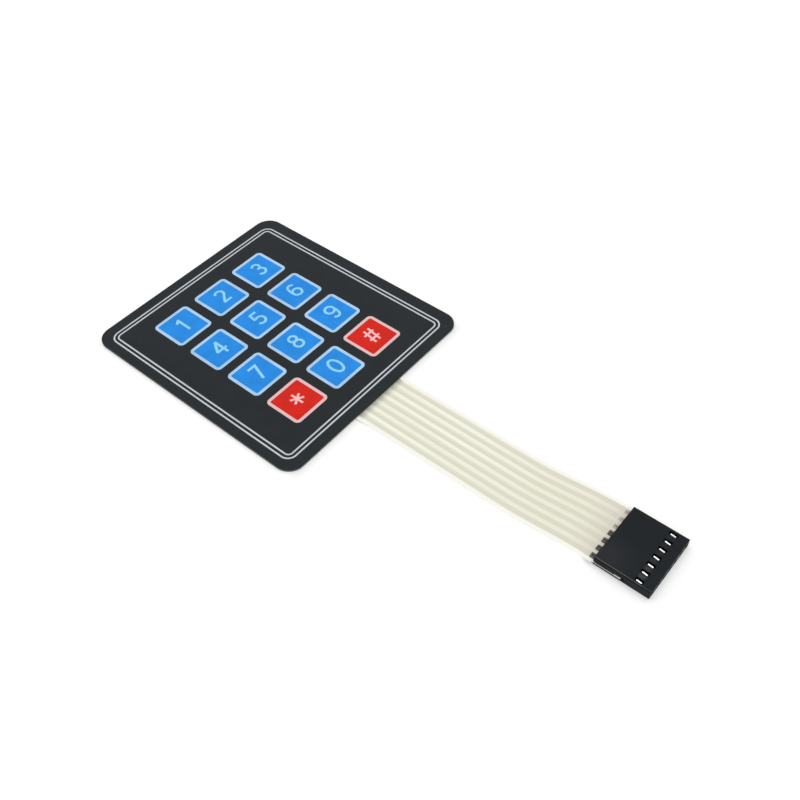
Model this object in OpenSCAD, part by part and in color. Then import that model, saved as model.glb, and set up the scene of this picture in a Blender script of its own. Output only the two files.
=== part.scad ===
// Membrane keypad: twelve printed keys on a laminated switch panel. A flat film tail leaves
// the bottom edge and ends in a crimped socket connector. Millimetres. The rear face of the
// panel lies on z = 0 about the origin, +Y points to the top row and +Z is the printed side.

/* [Panel] */
// Width of the panel, across the key columns
panel_w = 69; // [66:0.5:80]
// Length of the panel, down the key rows
panel_l = 77; // [75:0.5:95]
// Corner radius of the panel
panel_r = 4.8; // [2:0.1:8]

/* [Keys] */
// Distance from the middle of one key to the next
key_pitch = 15; // [13.5:0.1:15.5]
// Outer size of the white frame round a key
key_size = 12; // [9:0.1:12.8]
// Outer corner radius of the white frame
key_r = 1.4; // [1.2:0.1:2.5]
// Line width of the white frame
frame_line = 0.9; // [0.4:0.05:1.1]

// Distance from the middle of the panel to the middle of the print
print_offset = -0.45; // [-1:0.05:1]

/* [Border lines] */
// Distance from the panel edge to the outer border line
border_inset = 3.2; // [2:0.1:4]
// Width of each border line
border_line = 0.45; // [0.3:0.05:0.7]
// Clear space between the two border lines
border_gap = 0.75; // [0.4:0.05:0.9]
// Outer corner radius of the outer border line
border_r = 2.8; // [2.4:0.1:5]

/* [Layers] */
// Thickness of the paper release liner
liner_t = 0.1; // [0.08:0.01:0.2]
// Thickness of the mounting adhesive behind the panel
rear_adhesive_t = 0.08; // [0.05:0.01:0.15]
// Thickness of each circuit film
film_t = 0.15; // [0.1:0.01:0.2]
// Thickness of the adhesive spacer between the circuit films
spacer_t = 0.15; // [0.1:0.01:0.25]
// Thickness of the adhesive under the graphic overlay
overlay_adhesive_t = 0.06; // [0.04:0.01:0.1]
// Thickness of the graphic overlay
overlay_t = 0.21; // [0.15:0.01:0.3]
// Thickness of the coloured inks
ink_t = 0.02; // [0.01:0.01:0.03]
// Thickness of the printed silver conductors
silver_t = 0.02; // [0.01:0.01:0.03]

/* [Switches] */
// Diameter of a printed contact pad
pad_d = 8; // [5:0.1:8.5]
// Diameter of the hole in the spacer over a contact pad
spacer_hole_d = 10; // [9:0.1:11]
// Width of the air channels between the spacer holes
vent_w = 1; // [0.6:0.1:1.4]
// Distance from the middle of a key to its air channel
vent_offset = 2.5; // [2:0.1:3]
// Width of the conductors inside the panel
bus_w = 0.8; // [0.5:0.1:1.2]
// Distance from one conductor lane to the next at the panel margin
lane_pitch = 1.8; // [1.5:0.1:2]
// Distance from the panel edge to the first conductor lane
lane_inset = 2.6; // [2:0.1:3]
// Diameter of the conductive dots that join the two circuits
bridge_d = 1.6; // [1.2:0.1:2]

/* [Tail] */
// Length of the tail from the panel edge to the connector
tail_l = 70.5; // [30:0.5:120]
// Distance from the middle of the panel to the middle of the tail
tail_offset = -0.95; // [-2:0.05:2]
// Distance from one conductor to the next along the tail
tail_pitch = 2.44; // [2.3:0.01:2.6]
// Length of the bend that leads the tail up to the connector
tail_bend_l = 24; // [15:0.5:26]
// Width of film that stands out past each side of the connector
tail_overhang = 0.45; // [0.2:0.05:1]
// Width of film that shows past each side of the slot in the housing
film_reveal = 0.1; // [0.05:0.01:0.2]
// Width of the conductors along the tail
tail_trace_w = 1.28; // [1:0.02:1.5]
// Width of the conductors where the terminals clasp them
clasp_trace_w = 1.5; // [1.5:0.05:1.9]

/* [Connector] */
// Distance from one contact to the next
contact_pitch = 2.54; // [2.5:0.01:2.8]
// Length of the connector housing
housing_l = 14.5; // [14:0.1:18]
// Height of the connector housing
housing_h = 2.6; // [2.5:0.05:3.4]
// Edge chamfer along the underside of the housing
housing_chamfer = 0.15; // [0.05:0.05:0.25]
// Width of the sloped margin along each top edge of the housing
top_edge_w = 0.42; // [0.2:0.02:0.6]
// Fall of the sloped margin along each top edge
top_edge_h = 0.18; // [0.1:0.02:0.25]
// Thickness of the housing wall in front of the contacts
front_wall = 0.8; // [0.6:0.05:1.2]
// Size of the square pin hole in the front wall
pin_hole = 0.9; // [0.75:0.05:1.1]
// Depth of the sloped lead-in of a pin hole
lead_in = 0.35; // [0.2:0.05:0.5]
// Width of the lance windows in the top of the housing
window_w = 1.05; // [0.9:0.05:1.3]
// Length of the lance windows
window_l = 2.1; // [1.9:0.1:2.4]
// Distance from the housing front to the middle of the windows
window_setback = 3.55; // [3.4:0.05:4]
// Depth of the film slot at the rear of the housing
slot_depth = 8; // [7.6:0.1:8.2]
// Distance from the pin line down to the underside of the film
film_drop = 0.4; // [0.3:0.02:0.44]

/* [Terminals] */
// Outer size of the square contact box
box_size = 1.5; // [1.4:0.05:1.6]
// Length of the contact box
box_l = 5.2; // [5:0.1:5.6]
// Sheet thickness of a terminal
sheet_t = 0.18; // [0.15:0.01:0.2]
// Distance from the middle of a terminal to its crimp tines
tine_reach = 0.6; // [0.55:0.01:0.65]
// Length of one crimp tine along the tail
tine_l = 1.1; // [0.8:0.05:1.2]
// Distance from one pair of tines to the next
tine_pitch = 2.95; // [2.5:0.05:3]
// Length of terminal that shows behind the housing
terminal_tail = 1.3; // [1.25:0.05:1.8]
// Width of the locking lance
lance_w = 0.4; // [0.3:0.05:0.7]
// Rise of the locking lance above the contact box
lance_rise = 0.25; // [0.15:0.05:0.35]
// Length of the locking lance
lance_l = 1.65; // [1.4:0.05:1.7]

/* [Clearances] */
// Gap round the contact box in its cavity
box_clear = 0.1; // [0.05:0.01:0.15]
// Gap below the film in the slot of the housing
slot_clear = 0.06; // [0.03:0.01:0.1]
// Gap above the film in the slot of the housing
slot_head = 0.3; // [0.1:0.02:0.4]
// Gap between the shoulders of the film and the rear of the housing
shoulder_clear = 0.3; // [0.2:0.05:0.5]
// Gap between a crimp tine and its slit in the film
slit_clear = 0.02; // [0.01:0.01:0.04]
// Gap between the end of the film and the end of its slot
film_setback = 0.5; // [0.3:0.05:0.8]
// Gap between the two curls of a pair of crimp tines
curl_gap = 0.06; // [0.04:0.01:0.1]

/* [Hidden] */
$fn = 48;
eps = 0.01;

key_cols = 3;
key_rows = 4;
line_count = key_rows + key_cols;
tine_pairs = 3;

// Levels of the laminated layers, from the rear face up
z_rear_adhesive = liner_t;
z_lower_film = z_rear_adhesive + rear_adhesive_t;
z_spacer = z_lower_film + film_t;
z_upper_film = z_spacer + spacer_t;
z_overlay_adhesive = z_upper_film + film_t;
z_overlay = z_overlay_adhesive + overlay_adhesive_t;
z_print = z_overlay + overlay_t;

// Places along the tail, from the panel edge to the front of the connector
y_edge = -panel_l / 2;
y_housing_rear = y_edge - tail_l;
y_housing_front = y_housing_rear - housing_l;
y_film_end = y_housing_rear - slot_depth + film_setback;
y_terminal_rear = y_housing_rear + terminal_tail;
y_bridge = y_edge + lane_inset;
tail_root = 2;
tail_steps = 24;
y_bend_end = y_housing_rear + 2 * terminal_tail;
y_bend = y_bend_end + tail_bend_l;
y_shoulder = y_housing_rear + shoulder_clear;

// Sizes of the connector that follow from its contacts
housing_w = line_count * contact_pitch;
tail_w = housing_w + 2 * tail_overhang;
slot_film_w = housing_w + 2 * film_reveal;
cavity = box_size + 2 * box_clear;
z_pin = housing_h / 2;
z_slot_film = z_pin - film_drop;
z_slot_top = z_slot_film + film_t + silver_t;

// Places on a terminal
y_box_front = y_housing_front + front_wall + box_clear;
y_box_rear = y_box_front + box_l;
base_w = 2 * tine_reach + sheet_t;
base_r = sheet_t;
neck_w = 0.9;
curl_r = (tine_reach - sheet_t / 2 - curl_gap / 2) / 2;
z_curl = z_slot_top + curl_r / 2;
z_box_floor = z_pin - box_size / 2;
z_box_roof = z_pin + box_size / 2;
spring_rise = 0.5;
spring_margin = 0.7;
spring_foot = 1;

// Middle of a key column and of a key row, counted from the top left key
function key_x(col) = (col - (key_cols - 1) / 2) * key_pitch;
function key_y(row) = ((key_rows - 1) / 2 - row) * key_pitch;
function is_red(row, col) = row == key_rows - 1 && col != 1;

// Middle of a contact and of its conductor on the tail, counted from the left
function line_x(line) = (line - (line_count - 1) / 2) * contact_pitch;
function tail_x(line) = tail_offset + (line - (line_count - 1) / 2) * tail_pitch;

// Lanes that carry the row conductors down the left margin and along the bottom margin
function lane_x(row) = -panel_w / 2 + lane_inset + row * lane_pitch;
function lane_y(row) = y_edge + lane_inset + row * lane_pitch;
function column_lane_y(col) = y_bridge + lane_pitch * (col == 1 ? 2 : 1);

// Share of the bend's rise and of its sway at each step, one soft S
function bend_share(step) = (1 - cos(180 * step / tail_steps)) / 2;
function bend_y(step) = y_bend - tail_bend_l * step / tail_steps;

// Underside of the tail in Y and Z: level from the panel, up the bend and level into the slot
function tail_line(lift) = concat(
    [[y_edge + tail_root, z_lower_film + lift]],
    [for (step = [0:tail_steps])
        [bend_y(step), z_lower_film + (z_slot_film - z_lower_film) * bend_share(step) + lift]],
    [[y_film_end, z_slot_film + lift]]
);

// Middle line of a strip of the tail in X and Y, from its place at the panel to its contact
function strip_line(x_panel, x_contact, y_end) = concat(
    [[x_panel, y_edge + tail_root]],
    [for (step = [0:tail_steps])
        [x_panel + (x_contact - x_panel) * bend_share(step), bend_y(step)]],
    [[x_contact, y_end]]
);
function reversed(points) = [for (i = [len(points) - 1:-1:0]) points[i]];

// Middle of a pair of crimp tines, counted from the rear
function tine_y(pair) = y_terminal_rear - tine_l / 2 - eps - pair * tine_pitch;

// Rectangle with round corners, about the origin
module rounded_rect(w, l, r) {
    square([w - 2 * r, l], center = true);
    square([w, l - 2 * r], center = true);
    for (x = [-1, 1], y = [-1, 1])
        translate([x * (w / 2 - r), y * (l / 2 - r)])
            circle(r);
}

// Line of even width along the inside of a rounded rectangle
module rounded_ring(w, l, r, line) {
    difference() {
        rounded_rect(w, l, r);
        rounded_rect(w - 2 * line, l - 2 * line, r - line);
    }
}

// Flat layer of a drawn outline, from level z up
module layer(z, t) {
    translate([0, 0, z])
        linear_extrude(t)
            children();
}

// One die-cut sheet of the laminate
module panel_sheet(z, t) {
    layer(z, t)
        rounded_rect(panel_w, panel_l, panel_r);
}

// Ink of a drawn outline on the printed face
module print_layer() {
    translate([print_offset, 0])
        layer(z_print, ink_t)
            children();
}

// Each key position in turn
module at_keys() {
    for (row = [0:key_rows - 1], col = [0:key_cols - 1])
        translate([key_x(col), key_y(row)])
            children();
}

// Straight conductor between two points on one axis, with square ends
module run(from, to, w) {
    low = [min(from.x, to.x), min(from.y, to.y)];
    high = [max(from.x, to.x), max(from.y, to.y)];
    translate(low - [w, w] / 2)
        square(high - low + [w, w]);
}

// Conductor along a chain of points
module bus(points) {
    for (i = [0:len(points) - 2])
        run(points[i], points[i + 1], bus_w);
}

// Upright profile drawn in Y and Z, spread along X about its middle
module across(x, w) {
    translate([x - w / 2, 0, 0])
        rotate([90, 0, 90])
            linear_extrude(w)
                children();
}

// Upright profile drawn in X and Z, run forward along -Y from y
module along(y, l) {
    translate([0, y, 0])
        rotate([90, 0, 0])
            linear_extrude(l)
                children();
}

// Outline of even width about a middle line
module strip(middle, w) {
    polygon(concat(
        [for (p = middle) p - [w / 2, 0]],
        reversed([for (p = middle) p + [w / 2, 0]])
    ));
}

// Sheet of a drawn outline along the tail, that lies lift above the underside of the film
module tail_sheet(lift, t) {
    intersection() {
        layer(0, housing_h)
            children();
        across(0, panel_w)
            polygon(concat(tail_line(lift), reversed(tail_line(lift + t))));
    }
}

// Film of the tail, which steps in at its shoulders to pass into the slot
module tail_outline() {
    strip(strip_line(tail_offset, 0, y_shoulder), tail_w);
    translate([-slot_film_w / 2, y_film_end])
        square([slot_film_w, y_bend_end - y_film_end]);
}

// Conductors along the tail
module tail_trace_outline() {
    for (line = [0:line_count - 1])
        strip(strip_line(tail_x(line), line_x(line), y_film_end), tail_trace_w);
    for (line = [0:line_count - 1])
        translate([line_x(line) - clasp_trace_w / 2, y_film_end])
            square([clasp_trace_w, y_bend_end - y_film_end]);
}

// Slits that the crimp tines pierce through the film and its conductors
module tine_slits() {
    slit = [sheet_t + 2 * slit_clear, tine_l + 2 * slit_clear, film_t + 4 * silver_t];
    for (line = [0:line_count - 1], pair = [0:tine_pairs - 1], side = [-1, 1])
        translate([line_x(line) + side * tine_reach, tine_y(pair), z_slot_film + film_t / 2])
            cube(slit, center = true);
}

// Row conductors: four buses with their pads, and all seven lines out to the tail
module row_outline() {
    for (row = [0:key_rows - 1])
        bus([
            [key_x(key_cols - 1), key_y(row)],
            [lane_x(row), key_y(row)],
            [lane_x(row), lane_y(row)],
            [tail_x(row), lane_y(row)],
            [tail_x(row), y_edge + bus_w / 2]
        ]);
    for (col = [0:key_cols - 1])
        bus([
            [tail_x(key_rows + col), y_bridge],
            [tail_x(key_rows + col), y_edge + bus_w / 2]
        ]);
    at_keys()
        circle(d = pad_d);
    bridge_outline();
}

// Column conductors: three buses with their pads, down to the joining dots
module column_outline() {
    for (col = [0:key_cols - 1])
        bus([
            [key_x(col), key_y(0)],
            [key_x(col), column_lane_y(col)],
            [tail_x(key_rows + col), column_lane_y(col)],
            [tail_x(key_rows + col), y_bridge]
        ]);
    at_keys()
        circle(d = pad_d);
    bridge_outline();
}

// Joining dots where the column lines pass from the upper to the lower film
module bridge_outline() {
    for (col = [0:key_cols - 1])
        translate([tail_x(key_rows + col), y_bridge])
            circle(d = bridge_d);
}

// Air channels between the spacer holes of each column
module vent_outline() {
    for (col = [0:key_cols - 1])
        run([key_x(col) + vent_offset, key_y(0)], [key_x(col) + vent_offset, key_y(key_rows - 1)], vent_w);
}

module row_prints() {
    layer(z_spacer, silver_t)
        row_outline();
}

module column_prints() {
    layer(z_upper_film - silver_t, silver_t)
        column_outline();
}

// Coloured field inside the frame of a key
module key_field(row, col) {
    field = key_size - 2 * frame_line;
    translate([key_x(col), key_y(row)])
        rounded_rect(field, field, key_r - frame_line);
}

// All key fields of one colour
module key_fields(red) {
    print_layer()
        for (row = [0:key_rows - 1], col = [0:key_cols - 1])
            if (is_red(row, col) == red)
                key_field(row, col);
}

module release_liner() {
    color("wheat")
        panel_sheet(0, liner_t);
}

module rear_adhesive() {
    color("lightyellow")
        panel_sheet(z_rear_adhesive, rear_adhesive_t);
}

// Lower circuit film and the tail, cut from one sheet
module lower_circuit_film() {
    color("ivory")
        difference() {
            union() {
                panel_sheet(z_lower_film, film_t);
                tail_sheet(0, film_t)
                    tail_outline();
            }
            tine_slits();
        }
}

module row_traces() {
    color("silver")
        difference() {
            union() {
                row_prints();
                tail_sheet(film_t, silver_t)
                    tail_trace_outline();
            }
            tine_slits();
        }
}

// Adhesive spacer, moulded over the conductors above and below it
module circuit_spacer() {
    color("gainsboro")
        difference() {
            layer(z_spacer, spacer_t)
                difference() {
                    rounded_rect(panel_w, panel_l, panel_r);
                    at_keys()
                        circle(d = spacer_hole_d);
                    vent_outline();
                    bridge_outline();
                }
            row_prints();
            tail_sheet(film_t, silver_t)
                tail_trace_outline();
            column_prints();
        }
}

module layer_bridges() {
    color("darkgray")
        layer(z_spacer + silver_t, spacer_t - 2 * silver_t)
            bridge_outline();
}

module column_traces() {
    color("silver")
        column_prints();
}

module upper_circuit_film() {
    color("ivory")
        panel_sheet(z_upper_film, film_t);
}

module overlay_adhesive() {
    color("lightyellow")
        panel_sheet(z_overlay_adhesive, overlay_adhesive_t);
}

module graphic_overlay() {
    color([0.16, 0.17, 0.18])
        panel_sheet(z_overlay, overlay_t);
}

module blue_key_print() {
    color([0.16, 0.55, 0.9])
        key_fields(false);
}

module red_key_print() {
    color([0.86, 0.16, 0.13])
        key_fields(true);
}

module key_frame_print() {
    color("lavender")
        print_layer()
            at_keys()
                rounded_ring(key_size, key_size, key_r, frame_line);
}

module border_print() {
    color("lavender")
        print_layer()
            for (inset = [0, border_line + border_gap])
                rounded_ring(
                    panel_w - 2 * (border_inset + inset),
                    panel_l - 2 * (border_inset + inset),
                    border_r - inset,
                    border_line
                );
}

// Housing block with sloped margins along its top and chamfers along its underside
module housing_block() {
    half = housing_w / 2;
    c = housing_chamfer;
    along(y_housing_rear, housing_l)
        polygon([
            [-half + c, 0], [half - c, 0], [half, c], [half, housing_h - top_edge_h],
            [half - top_edge_w, housing_h], [-half + top_edge_w, housing_h],
            [-half, housing_h - top_edge_h], [-half, c]
        ]);
}

// Square pin hole with a sloped lead-in, the crossing of two tapered cuts
module pin_entry(x) {
    inner = pin_hole / 2;
    outer = inner + lead_in;
    y_front = y_housing_front - eps;
    y_inner = y_housing_front + lead_in;
    y_back = y_housing_front + front_wall + eps;
    flare = [[-outer, y_front], [outer, y_front], [inner, y_inner], [inner, y_back],
             [-inner, y_back], [-inner, y_inner]];
    translate([x, 0, z_pin])
        intersection() {
            translate([0, 0, -outer])
                linear_extrude(2 * outer)
                    polygon(flare);
            across(0, 2 * outer)
                polygon([for (p = flare) [p.y, p.x]]);
        }
}

// Cavity, window and pin hole of one contact
module contact_space(line) {
    x = line_x(line);
    cavity_l = housing_l - front_wall;
    translate([x - cavity / 2, y_housing_front + front_wall, z_pin - cavity / 2])
        cube([cavity, cavity_l + eps, cavity]);
    translate([x - window_w / 2, y_housing_front + window_setback - window_l / 2, z_pin])
        cube([window_w, window_l, housing_h]);
    pin_entry(x);
}

module connector_housing() {
    slot_h = slot_clear + film_t + silver_t + slot_head;
    color([0.12, 0.12, 0.13])
        difference() {
            housing_block();
            for (line = [0:line_count - 1])
                contact_space(line);
            translate([-housing_w, y_housing_rear - slot_depth, z_slot_film - slot_clear])
                cube([2 * housing_w, slot_depth + eps, slot_h]);
        }
}

// Crimp tine: a leg up through the film and a curl that folds back onto the conductor
module tine_profile() {
    translate([tine_reach - sheet_t / 2, z_slot_film - sheet_t])
        square([sheet_t, z_curl - z_slot_film + sheet_t]);
    translate([tine_reach - curl_r, z_curl])
        difference() {
            circle(curl_r + sheet_t / 2);
            circle(curl_r - sheet_t / 2);
            translate([-2 * curl_r, -4 * curl_r])
                square(4 * curl_r);
        }
    translate([tine_reach - 2 * curl_r - sheet_t / 2, z_slot_top + eps])
        square([sheet_t, z_curl - z_slot_top - eps]);
}

// Crimp end of a terminal: a base strip under the film with its pairs of tines
module crimp() {
    base_l = y_terminal_rear - y_film_end;
    layer(z_slot_film - sheet_t, sheet_t)
        translate([0, y_terminal_rear - base_l / 2])
            union() {
                rounded_rect(base_w, base_l, base_r);
                translate([-neck_w / 2, -base_l / 2])
                    square([neck_w, base_r]);
            }
    for (pair = [0:tine_pairs - 1])
        along(tine_y(pair) + tine_l / 2, tine_l) {
            tine_profile();
            mirror([1, 0])
                tine_profile();
        }
}

// Neck that steps down from the crimp to the floor of the contact box
module neck() {
    z_crimp = z_slot_film - sheet_t;
    across(0, neck_w)
        polygon([
            [y_film_end, z_crimp], [y_film_end, z_crimp + sheet_t],
            [y_box_rear, z_box_floor + sheet_t], [y_box_rear - sheet_t, z_box_floor + sheet_t],
            [y_box_rear - sheet_t, z_box_floor], [y_box_rear, z_box_floor]
        ]);
}

// Contact box with its locking lance and a bowed spring on the floor
module contact_box() {
    inside = box_size - 2 * sheet_t;
    y_lance = y_housing_front + window_setback - window_l / 2 + box_clear;
    z_lance = z_box_roof + lance_rise;
    y_spring = y_box_front + spring_margin;
    spring_l = box_l - 2 * spring_margin;
    z_foot = z_box_floor + sheet_t - eps;
    z_spring = z_box_floor + sheet_t + spring_rise;
    difference() {
        along(y_box_rear, box_l)
            translate([0, z_pin])
                difference() {
                    square(box_size, center = true);
                    square(inside, center = true);
                }
        translate([-window_w / 2, y_lance + sheet_t, z_pin])
            cube([window_w, window_l - 2 * box_clear, box_size]);
    }
    across(0, lance_w)
        polygon([
            [y_lance, z_box_roof - sheet_t], [y_lance + sheet_t, z_box_roof - sheet_t],
            [y_lance + lance_l, z_lance - sheet_t], [y_lance + lance_l, z_lance],
            [y_lance, z_box_roof]
        ]);
    across(0, neck_w)
        polygon([
            [y_spring, z_foot], [y_spring + spring_l / 2, z_spring],
            [y_spring + spring_l, z_foot], [y_spring + spring_l - spring_foot, z_foot],
            [y_spring + spring_l / 2, z_spring - sheet_t], [y_spring + spring_foot, z_foot]
        ]);
}

// Crimp terminal of one line
module terminal(line) {
    color("lightgray")
        translate([line_x(line), 0, 0])
            union() {
                crimp();
                neck();
                contact_box();
            }
}

release_liner();
rear_adhesive();
lower_circuit_film();
row_traces();
circuit_spacer();
layer_bridges();
column_traces();
upper_circuit_film();
overlay_adhesive();
graphic_overlay();
blue_key_print();
red_key_print();
key_frame_print();
border_print();
connector_housing();
for (line = [1:line_count])
    terminal(line - 1);
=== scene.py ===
"""Dress the membrane keypad, print its legends and set up its studio."""

from __future__ import annotations

import logging
import math
from dataclasses import dataclass, field
from enum import Enum

import bmesh
import bpy
from mathutils import Matrix, Vector


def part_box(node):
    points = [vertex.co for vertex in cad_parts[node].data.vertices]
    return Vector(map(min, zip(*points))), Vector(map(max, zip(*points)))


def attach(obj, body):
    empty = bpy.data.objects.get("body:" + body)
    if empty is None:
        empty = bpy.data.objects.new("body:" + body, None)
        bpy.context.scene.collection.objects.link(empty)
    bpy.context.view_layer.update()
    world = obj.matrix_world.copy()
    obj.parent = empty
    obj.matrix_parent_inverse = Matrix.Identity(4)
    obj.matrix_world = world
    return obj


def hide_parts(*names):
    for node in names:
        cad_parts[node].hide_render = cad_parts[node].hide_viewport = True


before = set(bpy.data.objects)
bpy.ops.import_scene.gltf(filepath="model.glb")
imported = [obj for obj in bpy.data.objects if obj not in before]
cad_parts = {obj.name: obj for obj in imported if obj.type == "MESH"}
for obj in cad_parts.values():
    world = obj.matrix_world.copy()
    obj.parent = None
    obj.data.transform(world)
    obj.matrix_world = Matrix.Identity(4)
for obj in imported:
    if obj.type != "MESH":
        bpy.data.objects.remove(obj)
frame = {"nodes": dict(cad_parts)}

MM = 0.001
FLAT_ANGLE = math.radians(0.5)
ROOT = "root"
LOG = logging.getLogger("keypad")
RISING = (0.0, 1.0)
FALLING = (1.0, 0.0)
Rgb = tuple[int, int, int]
Range = tuple[float, float]
Place = tuple[float, float, float]
Socket = bpy.types.NodeSocket
Surface = tuple[Socket, Socket, Socket]
Feeds = dict[int | str, object]


def linear(colour: Rgb) -> tuple[float, float, float, float]:
    """Turn an sRGB colour into the linear colour that shaders take.

    Args:
        colour: red, green and blue, 0 to 255 each.

    Returns:
        The linear colour with an alpha of 1.
    """
    parts = [c / 255 for c in colour]
    flat = [c / 12.92 if c <= 0.04045 else ((c + 0.055) / 1.055) ** 2.4 for c in parts]
    return (flat[0], flat[1], flat[2], 1.0)


def shade(colour: Rgb, factor: float) -> Rgb:
    """Make a colour darker or lighter by one factor.

    Args:
        colour: red, green and blue, 0 to 255 each.
        factor: below 1 for darker, above 1 for lighter.

    Returns:
        The new colour, held within 0 to 255.
    """
    made = [max(0, min(255, round(c * factor))) for c in colour]
    return (made[0], made[1], made[2])


class Slot(Enum):
    """Names of three material slots; nothing in this script uses them."""

    WHITE_INK = "white_ink"
    HOUSING = "housing"
    TERMINAL = "terminal"


class Effect(Enum):
    """The surface effects that several finishes share, each a node group."""

    GRAIN = "fine_grain"
    SCREEN = "screen_mesh"
    DUST = "dust_specks"
    STREAK = "long_streaks"
    HAIRLINE = "hairline_scuffs"


class Sketch:
    """Adds nodes to one tree and joins their sockets."""

    def __init__(self, tree: bpy.types.NodeTree, shelf: EffectShelf | None = None) -> None:
        """Hold the tree that the nodes go into, and the shelf of its effects."""
        self.tree = tree
        self.shelf = shelf

    def feed(self, socket: Socket, value: object) -> None:
        """Join a socket to another one, or set its own value.

        Args:
            socket: the input to feed.
            value: an output socket, or a plain value.
        """
        if isinstance(value, Socket):
            self.tree.links.new(value, socket)
        else:
            socket.default_value = value

    def add(self, kind: str, feeds: Feeds | None = None, **settings: object) -> bpy.types.Node:
        """Add a node.

        Args:
            kind: the node's type name.
            feeds: values or sockets for its inputs, by name or number.
            settings: the node's own properties.

        Returns:
            The new node.
        """
        node = self.tree.nodes.new(kind)
        for name, value in settings.items():
            setattr(node, name, value)
        for label, value in (feeds or {}).items():
            self.feed(node.inputs[label], value)
        return node

    def math(self, operation: str, first: object, second: object = 0.0) -> Socket:
        """Work out one sum of two values or sockets."""
        return self.add("ShaderNodeMath", {0: first, 1: second}, operation=operation).outputs[0]

    def product(self, *factors: object) -> Socket:
        """Multiply values.

        Args:
            factors: values or sockets.

        Returns:
            The product's socket.
        """
        made = factors[0]
        for factor in factors[1:]:
            made = self.math("MULTIPLY", made, factor)
        return made

    def away(self, value: object, place: object) -> Socket:
        """Give the distance of a value from a place."""
        return self.math("ABSOLUTE", self.math("SUBTRACT", value, place))

    def repeat(self, value: object, shift: float = 0.0) -> Socket:
        """Give the offset of a value from the nearest whole number, or from a shift past it."""
        return self.math("SUBTRACT", self.math("FRACT", self.math("ADD", value, 0.5 - shift)), 0.5)

    def above(self, value: object, limit: float) -> Socket:
        """Give 1 where a value is above a limit in millimetres, and 0 elsewhere."""
        return self.math("GREATER_THAN", value, limit * MM)

    def below(self, value: object, limit: float) -> Socket:
        """Give 1 where a value is below a limit in millimetres, and 0 elsewhere."""
        return self.math("LESS_THAN", value, limit * MM)

    def band(
        self, value: object, start: float, end: float, low: object = 0.0, high: object = 1.0
    ) -> Socket:
        """Ease a value from one range, start to end, into another, low to high."""
        feeds = {"Value": value, "From Min": start, "From Max": end, "To Min": low, "To Max": high}
        return self.add("ShaderNodeMapRange", feeds, interpolation_type="SMOOTHSTEP").outputs[0]

    def span(self, value: object, along: Range, shares: Range = RISING) -> Socket:
        """Ease between two shares along a stretch that is given in millimetres."""
        return self.band(value, along[0] * MM, along[1] * MM, *shares)

    def blend(self, factor: object, first: object, second: object) -> Socket:
        """Mix two colours.

        Args:
            factor: the share of the second colour.
            first: an sRGB colour or a socket.
            second: an sRGB colour or a socket.

        Returns:
            The mixed colour's socket.
        """
        ends = [c if isinstance(c, Socket) else linear(c) for c in (first, second)]
        feeds = {0: factor, 6: ends[0], 7: ends[1]}
        return self.add("ShaderNodeMix", feeds, data_type="RGBA").outputs[2]

    def place(self) -> Socket:
        """Give the Object coordinates, in metres in the shared frame."""
        return self.add("ShaderNodeTexCoord").outputs["Object"]

    def axes(self) -> tuple[Socket, ...]:
        """Give the Object coordinates as separate X, Y and Z."""
        return tuple(self.add("ShaderNodeSeparateXYZ", {0: self.place()}).outputs)

    def noise(self, at: object, scale: object, detail: float = 3.0) -> Socket:
        """Add a noise texture, with its cells per unit and how many finer layers it has."""
        feeds = {"Vector": at, "Scale": scale, "Detail": detail}
        return self.add("ShaderNodeTexNoise", feeds).outputs[0]

    def bump(self, height: object, strength: float, depth_mm: float) -> Socket:
        """Turn a height into a bent normal, as deep as the millimetres given."""
        feeds = {"Height": height, "Strength": strength, "Distance": depth_mm * MM}
        return self.add("ShaderNodeBump", feeds).outputs["Normal"]

    def effect(self, effect: Effect, **values: float) -> bpy.types.NodeOutputs:
        """Place a shared effect with its named inputs, and give its outputs by name."""
        return self.add("ShaderNodeGroup", values, node_tree=self.shelf.group(effect)).outputs


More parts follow.
